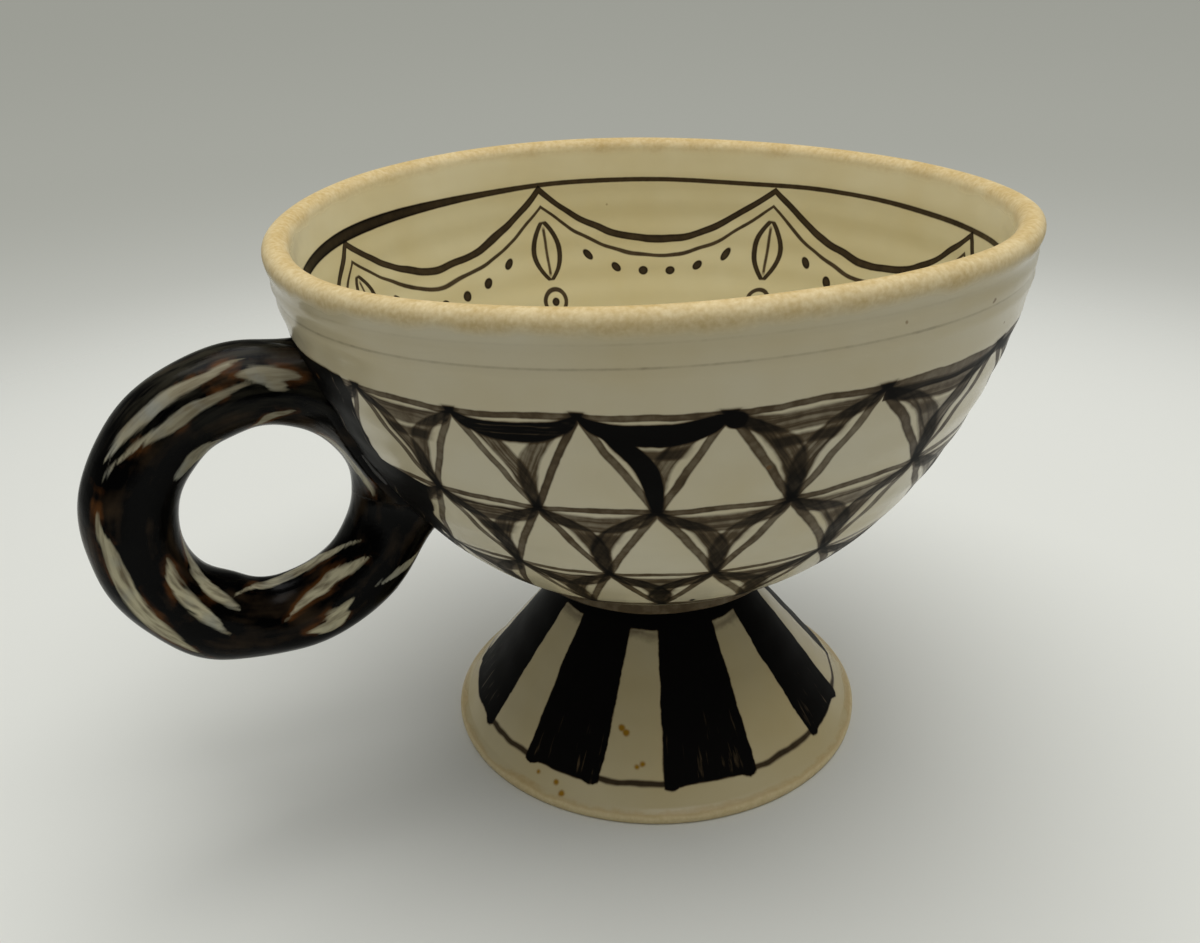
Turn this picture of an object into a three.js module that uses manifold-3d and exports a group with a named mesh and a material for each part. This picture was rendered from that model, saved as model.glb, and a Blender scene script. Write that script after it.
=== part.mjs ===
// A hand-built stoneware cup: a thrown bowl on a hollow conical foot, with a clay coil
// closed into a ring for its handle. The clay pieces are luted together with slip.
// Millimetres, +Z up. The ring handle points along -X, and the origin is on the table
// under the middle of the cup's overall box.
import * as THREE from "three";
import { mergeVertices } from "three/addons/utils/BufferGeometryUtils.js";
import Module from "manifold-3d";

// Bowl
const cupHeight = 92.4; // table to the mean crest of the lip
const rimRadius = 56; // axis to the mean crest of the lip
const lipThickness = 4;
const wallThickness = 5; // at the bottom of the wall
const floorThickness = 7; // at the axis
const basePadRadius = 23; // flat-bottomed disc under the belly
const basePadHeight = 3.7;
const basePadBevel = 0.8;
const bellyReach = 15.3; // how far the lower wall sweeps out before it turns up
const bellyRise = 3.1; // and how far it climbs on that way
const flankLean = 2.9; // how far the upper wall leans out
const flankRise = 26.6; // over this height

// The thrown rim is not true: it is tilted, saddle-shaped and a little oval.
const rimTilt = 1.9;
const rimTiltAngle = THREE.MathUtils.degToRad(-106); // where the tilted rim is highest
const rimSaddle = 1;
const rimSaddleAngle = THREE.MathUtils.degToRad(-80); // one of its two high places
const rimOval = 1;
const rimOvalAngle = THREE.MathUtils.degToRad(-8); // one end of its long diameter

// Foot
const footHeight = 30.5; // table to the face that carries the bowl
const footRadius = 36.3; // widest, just above the table
const footBevel = 0.7; // trimmed edge that rests on the table, measured level
const footBevelHeight = 0.9;
const footLedge = 1.4; // how far inside the widest edge the cone starts
const footLedgeHeight = 2.2;
const neckRadius = 13; // where the foot meets the bowl
const footWall = 5; // measured level
const footCapThickness = 6; // clay under the bowl

// Ring handle
const ringLevel = 53; // table to ring centre
const ringRadius = 19.9; // ring centre to the middle of the coil
const coilSeat = 0.5; // how deep the middle of the coil is set into the bowl's wall at that level
const coilHeight = 13.2; // coil's thickness in the ring's plane
const coilWidth = 12; // and across it
const coilSwell = 0.4; // extra half thickness on the side away from the bowl
const ringSkew = 0.5; // how far the ring is pulled oval
const ringSkewAngle = THREE.MathUtils.degToRad(45); // its long axis, counted from the bowl's side upwards

// Slip that lutes the clay pieces together
const footSlipThickness = 1;
const footSlipBead = 0.8; // how far the squeezed-out slip stands out of the neck
const handleSlipThickness = 1;
const handleSlipSpread = 2; // how far the squeezed-out slip passes the coil's edge
const jointGap = 0.3; // clearance between faces that are cut to each other

// Facets
const turnSegments = 72;
const profileSegments = 16;
const lipSegments = 6;
const coilSegments = 18;
const ringSegments = 60;

const wasm = await Module();
wasm.setup();

const glazedCream = new THREE.MeshStandardMaterial({ color: 0xd3ccae, roughness: 0.3, metalness: 0 });
const brushedBlack = new THREE.MeshStandardMaterial({ color: 0x211e1b, roughness: 0.25, metalness: 0 });
const driedSlip = new THREE.MeshStandardMaterial({ color: 0x2b2723, roughness: 0.4, metalness: 0 });

const bowlBase = footHeight + footSlipThickness;
const lipRadius = lipThickness / 2;

// The bowl's outer profile runs from its base pad to the outside of the lip as one curve of
// radius and height.
const flankSlope = Math.atan2(flankLean, flankRise);
const lipCentre = new THREE.Vector2(rimRadius, cupHeight - lipRadius);
const lipOutside = new THREE.Vector2(Math.cos(flankSlope), -Math.sin(flankSlope));
const bowlStart = new THREE.Vector2(basePadRadius, bowlBase + basePadHeight);
const bowlEnd = lipCentre.clone().addScaledVector(lipOutside, lipRadius);
const bowlOutline = new THREE.CubicBezierCurve(
  bowlStart,
  new THREE.Vector2(bowlStart.x + bellyReach, bowlStart.y + bellyRise),
  new THREE.Vector2(bowlEnd.x - flankLean, bowlEnd.y - flankRise),
  bowlEnd,
);

// The outline's radius at a height, found by halving the stretch of curve that holds it.
function outlineRadiusAt(height) {
  const halvings = 40;
  let low = 0;
  let high = 1;
  for (let i = 0; i < halvings; i++) {
    const half = (low + high) / 2;
    if (bowlOutline.getPoint(half).y < height) low = half;
    else high = half;
  }
  return bowlOutline.getPoint(low).x;
}

// A point of the bowl's outline moved square to the wall, outwards for a positive distance.
function besideOutline(along, distance) {
  const direction = bowlOutline.getTangent(along);
  const point = bowlOutline.getPoint(along);
  return new THREE.Vector2(point.x + direction.y * distance, point.y - direction.x * distance);
}

// Turns a profile of radius and height points about +Z.
function turned(profile) {
  return new THREE.LatheGeometry(profile, turnSegments).rotateX(Math.PI / 2);
}

// Bends a turned shape to the rim's tilt, saddle and oval, which fade out down the wall.
function warped(geometry) {
  const position = geometry.getAttribute("position");
  for (let i = 0; i < position.count; i++) {
    const x = position.getX(i);
    const y = position.getY(i);
    const z = position.getZ(i);
    const climb = Math.max(0, (z - bowlBase) / (cupHeight - bowlBase));
    const angle = Math.atan2(y, x);
    const radius = Math.hypot(x, y);
    const fade = climb * climb;
    const lift =
      rimTilt * Math.cos(angle - rimTiltAngle) + rimSaddle * Math.cos(2 * (angle - rimSaddleAngle));
    const widen = rimOval * Math.cos(2 * (angle - rimOvalAngle));
    const share = fade * (radius / rimRadius);
    const bent = radius + widen * share;
    position.setXYZ(i, bent * Math.cos(angle), bent * Math.sin(angle), z + lift * share);
  }
  return geometry;
}

function steps(count) {
  return Array.from({ length: count + 1 }, (_, i) => i / count);
}

function solidOf(geometry) {
  const bare = geometry.clone();
  bare.deleteAttribute("normal");
  bare.deleteAttribute("uv");
  const merged = mergeVertices(bare, 1e-4);
  const vertProperties = new Float32Array(merged.getAttribute("position").array);
  const triVerts = new Uint32Array(merged.index.array);
  return new wasm.Manifold(new wasm.Mesh({ numProp: 3, vertProperties, triVerts }));
}

function geometryOf(solid) {
  const mesh = solid.getMesh();
  const geometry = new THREE.BufferGeometry();
  geometry.setAttribute("position", new THREE.BufferAttribute(mesh.vertProperties, 3));
  geometry.setIndex(new THREE.BufferAttribute(mesh.triVerts, 1));
  geometry.computeVertexNormals();
  return geometry;
}

function piece(name, geometry, material) {
  const mesh = new THREE.Mesh(geometry, material);
  mesh.name = name;
  return mesh;
}

// Bowl: base pad with its flat luting face, outer wall, rounded lip, inner wall and floor.
function bowlGeometry() {
  const outer = steps(profileSegments).map((s) => besideOutline(s, 0));
  const inner = steps(profileSegments).map((s) =>
    besideOutline(s, -THREE.MathUtils.lerp(wallThickness, lipThickness, s)),
  );
  const lip = steps(lipSegments)
    .slice(1, -1)
    .map((s) => {
      const turn = Math.PI * s - flankSlope;
      return new THREE.Vector2(
        lipCentre.x + lipRadius * Math.cos(turn),
        lipCentre.y + lipRadius * Math.sin(turn),
      );
    });
  const pad = [
    new THREE.Vector2(0, bowlBase),
    new THREE.Vector2(basePadRadius - basePadBevel, bowlBase),
    new THREE.Vector2(basePadRadius, bowlBase + basePadBevel),
  ];
  const floorMiddle = new THREE.Vector2(0, bowlBase + floorThickness);
  return warped(turned([...pad, ...outer, ...lip, ...inner.reverse(), floorMiddle]));
}

// Everything inside the bowl's outer wall, grown by a distance: the cutter for what is luted to it.
function bowlEnvelope(distance) {
  const wall = steps(profileSegments).map((s) => besideOutline(s, distance));
  const baseMiddle = new THREE.Vector2(0, wall[0].y);
  const topMiddle = new THREE.Vector2(0, wall.at(-1).y);
  return solidOf(warped(turned([baseMiddle, ...wall, topMiddle])));
}

// Foot: a hollow cone, open beneath, with a bevelled edge on the table.
function footGeometry() {
  const hollowTop = footHeight - footCapThickness;
  const coneRadius = footRadius - footLedge;
  const coneSlope = (coneRadius - neckRadius) / (footHeight - footLedgeHeight);
  const outerRadiusAtCap = neckRadius + coneSlope * footCapThickness;
  return turned([
    new THREE.Vector2(0, hollowTop),
    new THREE.Vector2(outerRadiusAtCap - footWall, hollowTop),
    new THREE.Vector2(footRadius - footWall, 0),
    new THREE.Vector2(footRadius - footBevel, 0),
    new THREE.Vector2(footRadius, footBevelHeight),
    new THREE.Vector2(coneRadius, footLedgeHeight),
    new THREE.Vector2(neckRadius, footHeight),
    new THREE.Vector2(0, footHeight),
  ]);
}

function footSlipGeometry() {
  return turned([
    new THREE.Vector2(0, footHeight),
    new THREE.Vector2(neckRadius, footHeight),
    new THREE.Vector2(neckRadius + footSlipBead, footHeight + footSlipThickness / 2),
    new THREE.Vector2(neckRadius, bowlBase),
    new THREE.Vector2(0, bowlBase),
  ]);
}

// The whole coil ring, before it is cut to the bowl, with its section grown by a spread.
function ringSolid(spread) {
  const ringReach = outlineRadiusAt(ringLevel) - coilSeat + ringRadius;
  const geometry = new THREE.TorusGeometry(ringRadius, coilHeight / 2, coilSegments, ringSegments);
  const position = geometry.getAttribute("position");
  for (let i = 0; i < position.count; i++) {
    const around = Math.atan2(position.getY(i), position.getX(i));
    const outward = (Math.hypot(position.getX(i), position.getY(i)) - ringRadius) / (coilHeight / 2);
    const across = position.getZ(i) / (coilHeight / 2);
    const swell = coilSwell * Math.max(0, -Math.cos(around));
    const middle = ringRadius + ringSkew * Math.cos(2 * (around - ringSkewAngle));
    const reach = middle + outward * (coilHeight / 2 + swell + spread);
    const side = across * (coilWidth / 2 + swell + spread);
    position.setXYZ(i, reach * Math.cos(around), reach * Math.sin(around), side);
  }
  return solidOf(geometry.rotateX(Math.PI / 2).translate(-ringReach, 0, ringLevel));
}

function handleGeometry() {
  const cut = bowlEnvelope(handleSlipThickness + 2 * jointGap);
  return geometryOf(ringSolid(0).subtract(cut));
}

function handleSlipGeometry() {
  const layer = bowlEnvelope(handleSlipThickness + jointGap).subtract(bowlEnvelope(jointGap));
  return geometryOf(ringSolid(handleSlipSpread).intersect(layer));
}

const cup = new THREE.Group();
cup.add(
  piece("bowl", bowlGeometry(), glazedCream),
  piece("pedestal_foot", footGeometry(), glazedCream),
  piece("foot_slip_joint", footSlipGeometry(), driedSlip),
  piece("ring_handle", handleGeometry(), brushedBlack),
  piece("handle_slip_joint", handleSlipGeometry(), driedSlip),
);

const box = new THREE.Box3().setFromObject(cup, true);
const middle = box.getCenter(new THREE.Vector3());
cup.position.set(-middle.x, -middle.y, -box.min.z);

const part = new THREE.Group();
part.add(cup);

export default part;
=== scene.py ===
"""Looks of a hand-built stoneware cup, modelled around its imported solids.

The bowl, the foot, the ring handle and the slip that joins them are smooth meshes in the
solids' own places. Their finishes are node materials: a cream glaze over brushed oxide on the
bowl and the foot, a streaked black wash on the ring, and bare sandy clay on the lip and foot.
Shapes are worked out in millimetres from the cup's axis and put in place in metres.
"""
import bisect
import math
from functools import partial

import bmesh
import bpy
from mathutils import Matrix, Vector, noise


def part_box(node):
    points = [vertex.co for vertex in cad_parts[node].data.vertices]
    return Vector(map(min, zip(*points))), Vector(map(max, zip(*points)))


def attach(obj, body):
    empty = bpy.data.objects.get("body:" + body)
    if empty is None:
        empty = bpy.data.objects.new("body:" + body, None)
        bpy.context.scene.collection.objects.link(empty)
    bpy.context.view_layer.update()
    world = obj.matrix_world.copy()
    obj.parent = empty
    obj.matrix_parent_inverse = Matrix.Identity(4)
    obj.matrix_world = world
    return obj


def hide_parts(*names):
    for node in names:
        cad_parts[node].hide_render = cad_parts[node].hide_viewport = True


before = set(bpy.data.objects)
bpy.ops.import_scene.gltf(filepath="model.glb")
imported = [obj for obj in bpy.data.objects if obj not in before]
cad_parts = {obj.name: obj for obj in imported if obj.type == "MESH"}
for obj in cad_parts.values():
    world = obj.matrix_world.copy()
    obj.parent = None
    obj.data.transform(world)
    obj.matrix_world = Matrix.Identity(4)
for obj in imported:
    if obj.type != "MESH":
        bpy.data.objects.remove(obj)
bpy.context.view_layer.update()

MM = 0.001

# Places and sizes taken from the solids, in millimetres
foot_low, foot_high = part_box("pedestal_foot")
AXIS = Vector(((foot_low.x + foot_high.x) / 2, (foot_low.y + foot_high.y) / 2, 0))
FOOT_RADIUS = (foot_high.x - foot_low.x) / 2 / MM
FOOT_HEIGHT = foot_high.z / MM
BOWL_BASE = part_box("bowl")[0].z / MM

# Bowl, in millimetres
CUP_HEIGHT = 92.4
RIM_RADIUS = 56.0
LIP_THICKNESS = 4.0
WALL_THICKNESS = 5.0
FLOOR_THICKNESS = 7.0
PAD_RADIUS = 23.0
PAD_HEIGHT = 3.7
PAD_BEVEL = 0.8
BELLY_REACH = 15.3
BELLY_RISE = 3.1
FLANK_LEAN = 2.9
FLANK_RISE = 26.6

# The thrown rim's tilt, saddle and oval: how much, and where it is highest or widest
RIM_TILT = 1.9
RIM_TILT_ANGLE = math.radians(-106)
RIM_SADDLE = 1.0
RIM_SADDLE_ANGLE = math.radians(-80)
RIM_OVAL = 1.0
RIM_OVAL_ANGLE = math.radians(-8)

# Marks that the potter's fingers left on the bowl: grooves under the lip, each with its height above
# the first and its depth, the hollow above them, throwing ripples and the lip's waver
GROOVE_LEVEL = 85.8
GROOVE_LEAN = 0.4
GROOVE_HIGH = math.radians(-30)
GROOVE_WIDTH = 0.6
GROOVE_WANDER = 0.5
GROOVES = ((0.0, 0.3), (2.9, 0.07))
LIP_HOLLOW = 0.45
LIP_HOLLOW_ABOVE = 2.7
LIP_HOLLOW_WIDTH = 1.8
LIP_HOLLOW_ANGLE = math.radians(-60)
THROWING_RIPPLE = 0.09
THROWING_PITCH = 5.5
THROWING_FADE_BY_LIP = (3, 12)
THROWING_FADE_BY_BASE = (8, 25)
LIP_WOBBLE = 0.22
LIP_WOBBLE_FADE = (2, 14)

# Foot, in millimetres, with its throwing ripples and waver
FOOT_BEVEL = 0.7
FOOT_BEVEL_HEIGHT = 0.9
FOOT_LEDGE = 1.4
FOOT_LEDGE_HEIGHT = 2.2
FOOT_WALL = 5.0
FOOT_CAP = 6.0
FOOT_RIPPLE = 0.03
FOOT_RIPPLE_PITCH = 4.6
FOOT_WAVER = 0.18
FOOT_TRIM = 0.1
FOOT_TRUE_ENDS = 0.5
NECK_RADIUS = 13.0

# Ring handle, in millimetres and degrees: 0 is towards the bowl and 90 is up. A painted sheen
# lightens its wash and painted shade dims its streaks towards the top, between two levels each
RING_LEVEL = 53.0
RING_RADIUS = 19.9
COIL_SEAT = 0.5
COIL_HEIGHT = 13.2
COIL_WIDTH = 12.0
COIL_SWELL = 0.4
RING_SKEW = 0.5
RING_SKEW_ANGLE = math.radians(45)
RING_SINK = 0.3
FLARE_REACH = 5.5
FLARE = 2.8
COIL_LUMPS = 0.3
COIL_CLOSE = 0.95
COIL_CLOSE_ANGLE = math.radians(240)
COIL_CLOSE_SPREAD = math.radians(13)
COIL_FLAT = 0.4
COIL_FLAT_SPREAD = math.radians(38)
TOP_PRESS = 1.6
TOP_PRESS_ANGLE = math.radians(58)
TOP_PRESS_SPREAD = math.radians(24)
BRISTLE_STRETCH = 0.2
STREAK_STRAY_AROUND = 3
STREAK_STRAY_COIL = 6
STREAK_FAR = -9.0
LEAST_STEEPNESS = 0.3
SHEEN_LEVELS = (66, 78)
STREAK_SHADE_LEVELS = (45, 72)

# Slip, in millimetres: the collar on the neck, and the bead round the ring's seat, whose middle is
# above the ring's
COLLAR_BEAD = 0.8
COLLAR_ROLL = 0.35
COLLAR_DEPTH = 0.6
COLLAR_WAVER = 0.2
SEAT_BEAD = 0.45
SEAT_BEAD_WAVER = 0.35
SEAT_FLARE = 0.85
SEAT_RISE = 6.0
SEAT_REACH = 40.0
SEAT_POINTS = 150
SEAT_HALVINGS = 24

# Steps in which the meshes are turned round their axes, and steps along their profiles
BOWL_STEPS = 264
FOOT_STEPS = 288
COLLAR_STEPS = 192
RING_STEPS = 264
COIL_STEPS = 88
PAD_STEPS = 10
BEVEL_STEPS = 5
OUTSIDE_STEPS = 84
LIP_STEPS = 16
INSIDE_STEPS = 70
FLOOR_STEPS = 12
CAP_STEPS = 8
HOLLOW_STEPS = 24
REST_STEPS = 5
CONE_STEPS = 64
ROLL_STEPS = 14
OUTLINE_STEPS = 2000

# Painted lattice on the bowl: heights of its four level lines, cells round the bowl, and how
# the painter's spacing drifts round the bowl and leans from row to row
ROW_LEVELS = (79.2, 64.8, 51.2, 40.2)
LATTICE_COUNT = 17
LATTICE_DRIFT = 0.314
LATTICE_DRIFT_ANGLE = math.radians(281.8)
LATTICE_SHIFT = 6.509
LATTICE_LEAN = -0.036
CELL_WIDTH = 18.0
CELL_HEIGHT = 15.0
LATTICE_SHRINK = 0.74

# How the painter's hand sways: over how many millimetres, and how far in columns and in rows
HAND_SWAYS = ((14, 0.10, 0.13), (2.2, 0.014, 0.018))

# Cells of the top row whose top or left stroke was painted with a freshly loaded brush, and how
# much, cells whose top line is broader by so many millimetres, and blots of oxide as column, row
# and half size in millimetres
LOADED_TOPS = ((0, 0.3), (1, 1.0))
LOADED_SIDES = ((1, 1.0),)
LOADED_LINES = ((3, 1.4), (4, 1.4))
LATTICE_BLOTS = ((2.04, 0.07, 1.3), (1.87, 2.86, 0.6))

# How far past the coil the handle's black wash is brushed on the wall: by height on the front, and
# evenly on the back
WASH_REACHES = ((44, 6.4), (52.7, 11.0), (64.4, 19.6), (65.3, 11.3), (70, 11.3), (79, 15.0))
BACK_WASH_REACH = 8.0

# Painted stripes on the foot: their two edges at the bottom and at the top, in degrees round the
# axis, their levels, the line under them, and rust spots as angle and height
STRIPES = (
    (-212.0, -172.4, -217.0, -173.2),
    (-153.6, -128.4, -156.8, -125.2),
    (-109.6, -81.4, -109.8, -78.2),
    (-57.6, -32.4, -60.8, -29.2),
    (-13.6, 11.6, -16.8, 14.8),
    (26.4, 51.6, 23.2, 54.8),
    (66.7, 91.9, 63.5, 95.1),
    (106.9, 132.1, 103.7, 135.3),
)
STRIPE_BOTTOM = 4.9
STRIPE_TOP = 25.0
STRIPE_OVERRUN = 0.7
STRIPE_OVERRUN_INSET = 1.2
STRIPE_OVERRUN_WIDTH = 1.4
BASE_LINE_LEVEL = 5.2
RUST_SPOTS = (
    (-123.6, 12.2),
    (-121.8, 11.6),
    (-117.6, 7.4),
    (-115.9, 7.8),
    (-147.5, 3.7),
    (-141, 3.4),
    (-138.4, 2.2),
)

# Cream streaks left in the ring's black wash: start and end as angles round the ring and round
# the coil, bow between them in degrees, and half width in millimetres
RING_STREAKS = (
    (156, -32, 87, -38, -15, 0.95),
    (157, -44, 89, -68, -19, 0.85),
    (93, -61, 71, -70, 4, 1.15),
    (84, -72, 73, -82, 0, 0.9),
    (92, -148, 72, -108, 4, 0.9),
    (147, -128, 108, -142, 0, 1.2),
    (163, -45, 243, -37, -24, 1.4),
    (193, -122, 244, -92, -8, 1.05),
    (186, -172, 246, -126, -4, 1.1),
    (241, -148, 331, -134, -42, 1.3),
    (270, -108, 326, -109, -26, 1.05),
    (277, -80, 299, -81, 4, 1.0),
    (285, -89, 303, -90, 0, 0.9),
    (315, -78, 334, -33, 0, 1.1),
    (52, -146, 2, -124, 0, 1.2),
    (60, 52, 118, 70, 14, 1.5),
    (104, 112, 148, 96, -8, 1.1),
    (132, 38, 190, 55, 12, 1.6),
    (172, 118, 222, 142, 10, 1.3),
    (205, 62, 262, 48, -14, 1.5),
    (246, 100, 300, 122, 8, 1.4),
    (286, 58, 318, 76, 4, 1.2),
)

# Brushwork inside the bowl: ring line below the lip, then swags with leaves where they join, and
# two rings round the floor as depth and half width
RING_LINE_DEPTH = 9.3
RING_LINE_LOAD = math.radians(151)
SWAG_COUNT = 7
SWAG_RADIUS = 49
SWAG_WIDTH = math.tau * SWAG_RADIUS / SWAG_COUNT
SWAG_SAG = 11.0
SWAG_BEADS = 8
LEAF_TOP = 7.0
LEAF_LENGTH = 12.0
LEAF_HALF_WIDTH = 2.6
DROP_DEPTH = 23.0
FLOOR_RINGS = ((48.0, 0.7), (51.0, 0.35))

# Colours of the finishes, the floor and the surround
GLAZE = "#CFC7AD"
GLAZE_INSIDE = "#CDC39C"
GLAZE_PAINTED_LIGHT_UNDER_LIP = "#E3DAB8"
GLAZE_FOOT_PAINTED_SHADE = "#C0B490"
GLAZE_TINT = "#F6F0E0"
CLAY = "#E0CFA4"
CLAY_DARK = "#BBA169"
OXIDE_THIN = "#52442F"
OXIDE_THICK = "#0F0E0D"
IRON = "#6B4A24"
RUST = "#926A0A"
WASH_BLACK = "#040404"
WASH_THIN = "#32271B"
WASH_PAINTED_SHEEN = "#3B382D"
WASH_RUST = "#5A3719"
STREAK_LOW = "#BDB698"
STREAK_PAINTED_SHADE = "#8F8973"
STREAK_STAIN = "#6F6550"
STREAK_TINT_AND_REFLECTION = "#8C908B"
SLIP_DARK = "#0C0B0A"
SLIP_PALE = "#2B241C"
PAPER = "#D8D9D3"
AMBIENT = "#E6E6E2"
SURROUND = "#D2D3CD"

# Typical IOR of fired glaze, and how glossy and rough the finishes are
CERAMIC_IOR = 1.5
GLAZE_GLOSS = 0.22
WASH_GLOSS = 0.06
SLIP_GLOSS = 0.5
CLAY_ROUGHNESS = 0.62
SLIP_ROUGHNESS = 0.3
PAPER_ROUGHNESS = 0.85

# How much finer marks count beside a surface's swells, and how far both stand out, in millimetres
STONEWARE_RELIEF = (0.22, 0.35)
WASH_RELIEF = (0.25, 0.4)
SLIP_RELIEF = 0.4

# Bands of the surround above its base: where each starts and ends by direction, and its colour
SURROUND_BANDS = ((-0.40, -0.20, "#A5A69E"), (-0.22, -0.08, "#9C9D95"), (0.0, 0.35, "#5C5C58"))

# Floor, lamp and surround, in metres, watts and strengths
FLOOR_RADIUS = 0.6
FLOOR_FADE = (0.15, 0.32)
LAMP_SIZE = (0.9, 0.8)
LAMP_POWER = 7.0
LAMP_PLACE = Vector((0.06, 0.03, 0.8))
LAMP_AIM = Vector((0, 0, 0.05))
AMBIENT_STRENGTH = 0.36
FRONT_DIMNESS = 0.12

# Camera: its place from the cup's axis in millimetres and degrees, and the way that it looks
CAMERA_DISTANCE = 192.0
CAMERA_BEARING = math.radians(-111.7)
CAMERA_HEIGHT = 141.8
CAMERA_HEADING = math.radians(71.0)
CAMERA_PITCH = math.radians(26.49)
CAMERA_ROLL = math.radians(-1.86)
CAMERA_LENS = 37.59
CAMERA_SENSOR = 36.0
CAMERA_NEAR = 0.01

# The bowl's outer profile as a curve
LIP_RADIUS = LIP_THICKNESS / 2
FLANK_SLOPE = math.atan2(FLANK_LEAN, FLANK_RISE)
LIP_MIDDLE = Vector((RIM_RADIUS, CUP_HEIGHT - LIP_RADIUS))
LIP_OUTSIDE = LIP_MIDDLE + LIP_RADIUS * Vector((math.cos(FLANK_SLOPE), -math.sin(FLANK_SLOPE)))
PAD_TOP = Vector((PAD_RADIUS, BOWL_BASE + PAD_HEIGHT))
OUTLINE = (
    PAD_TOP,
    PAD_TOP + Vector((BELLY_REACH, BELLY_RISE)),
    LIP_OUTSIDE - Vector((FLANK_LEAN, FLANK_RISE)),
    LIP_OUTSIDE,
)


def share(count):
    """Even steps from 0 to 1."""
    return [i / count for i in range(count + 1)]


def blend(low, high, part):
    return low + (high - low) * part


def rise(low, high, value):
    """A smooth rise from 0 at low to 1 at high."""
    part = min(1.0, max(0.0, (value - low) / (high - low)))
    return part * part * (3 - 2 * part)


def outline_point(s):
    """A point of the bowl's outer profile as radius and height, from the pad at 0 to the lip at 1."""
    a, b, c, d = OUTLINE
    return a * (1 - s) ** 3 + b * 3 * s * (1 - s) ** 2 + c * 3 * s * s * (1 - s) + d * s ** 3


def outline_direction(s):
    a, b, c, d = OUTLINE
    along = (b - a) * (1 - s) ** 2 + (c - b) * 2 * s * (1 - s) + (d - c) * s * s
    return along.normalized()


def beside_outline(s, distance):
    """A point of the outer profile moved square to the wall, outwards for a positive distance."""
    along = outline_direction(s)
    return outline_point(s) + Vector((along.y, -along.x)) * distance


OUTLINE_LEVELS = [outline_point(s).y for s in share(OUTLINE_STEPS)]


def outline_at(level):
    """How far up the outer profile a height is, from 0 to 1."""
    return min(bisect.bisect(OUTLINE_LEVELS, level), OUTLINE_STEPS) / OUTLINE_STEPS


def bent_to_rim(point):
    """Moves a point of the true bowl to the tilted, saddle-shaped and oval one."""
    climb = max(0.0, (point.z - BOWL_BASE) / (CUP_HEIGHT - BOWL_BASE))
    angle = math.atan2(point.y, point.x)
    radius = math.hypot(point.x, point.y)
    part = climb * climb * radius / RIM_RADIUS
    lift = RIM_TILT * math.cos(angle - RIM_TILT_ANGLE)
    lift += RIM_SADDLE * math.cos(2 * (angle - RIM_SADDLE_ANGLE))
    wide = radius + RIM_OVAL * math.cos(2 * (angle - RIM_OVAL_ANGLE)) * part
    return Vector((wide * math.cos(angle), wide * math.sin(angle), point.z + lift * part))


def bowl_gap(point):
    """Roughly how far a point is outside the bowl's wall, in millimetres."""
    s = outline_at(point.z)
    on_wall = outline_point(s)
    angle = math.atan2(point.y, point.x)
    wall = bent_to_rim(Vector((on_wall.x * math.cos(angle), on_wall.x * math.sin(angle), on_wall.y)))
    outside = math.hypot(point.x, point.y) - math.hypot(wall.x, wall.y)
    return outside * outline_direction(s).y


RING_REACH = outline_point(outline_at(RING_LEVEL)).x - COIL_SEAT + RING_RADIUS


def ring_size(around):
    """Middle radius of the ring and half thicknesses of its coil, at an angle round the ring."""
    swell = COIL_SWELL * max(0.0, -math.cos(around))
    middle = RING_RADIUS + RING_SKEW * math.cos(2 * (around - RING_SKEW_ANGLE))
    return middle, COIL_HEIGHT / 2 + swell, COIL_WIDTH / 2 + swell


def ring_gap(point):
    """Roughly how far a point is outside the ring's coil, in millimetres."""
    x = point.x + RING_REACH
    z = point.z - RING_LEVEL
    middle, half_height, half_width = ring_size(math.atan2(z, x))
    out = (math.hypot(x, z) - middle) / half_height
    side = point.y / half_width
    return (math.hypot(out, side) - 1) * half_width


def streak_depth(around, coil):
    """How far inside the nearest cream streak a place on the ring is, in millimetres."""
    deepest = STREAK_FAR
    ring_step = math.radians(1) * RING_RADIUS
    coil_step = math.radians(1) * COIL_WIDTH / 2
    for start, start_coil, end, end_coil, bow, half_width in RING_STREAKS:
        middle = (start + end) / 2
        place = middle + (around - middle + 180) % 360 - 180
        part = (place - start) / (end - start)
        held = min(1.0, max(0.0, part))
        taper = 4 * held * (1 - held)
        line = blend(start_coil, end_coil, held) + bow * taper
        aside = abs((coil - line + 180) % 360 - 180) * coil_step
        past = abs(part - held) * abs(end - start) * ring_step
        deepest = max(deepest, half_width * taper - math.hypot(aside, past))
    return deepest


def foot_radius(level):
    """Outer radius of the foot's cone at a height."""
    part = (level - FOOT_LEDGE_HEIGHT) / (FOOT_HEIGHT - FOOT_LEDGE_HEIGHT)
    return blend(FOOT_RADIUS - FOOT_LEDGE, NECK_RADIUS, part)


def stripe_depth(angle, radius, level):
    """How far inside the foot's black paint a place is, in millimetres."""
    part = (level - STRIPE_BOTTOM) / (STRIPE_TOP - STRIPE_BOTTOM)
    deepest = -180.0
    for low_left, low_right, high_left, high_right in STRIPES:
        left = blend(low_left, high_left, part)
        right = blend(low_right, high_right, part)
        aside = abs((angle - (left + right) / 2 + 180) % 360 - 180)
        deepest = max(deepest, (right - left) / 2 - aside)
    inside = math.radians(deepest) * radius
    off_overrun = (inside - STRIPE_OVERRUN_INSET) / STRIPE_OVERRUN_WIDTH
    overrun = STRIPE_OVERRUN * math.exp(-off_overrun * off_overrun)
    return max(min(inside, level - STRIPE_BOTTOM + overrun), level - STRIPE_TOP)


def wash_reach(level):
    """How far past the coil the black wash reaches at a height."""
    reach = WASH_REACHES[0][1]
    for (low, before), (high, after) in zip(WASH_REACHES, WASH_REACHES[1:]):
        if level > low:
            reach = blend(before, after, min(1.0, (level - low) / (high - low)))
    return reach


def weld(mesh):
    """Joins corners that meet and turns all faces outwards."""
    bmesh.ops.remove_doubles(mesh, verts=mesh.verts, dist=1e-4)
    bmesh.ops.recalc_face_normals(mesh, faces=mesh.faces)


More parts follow.
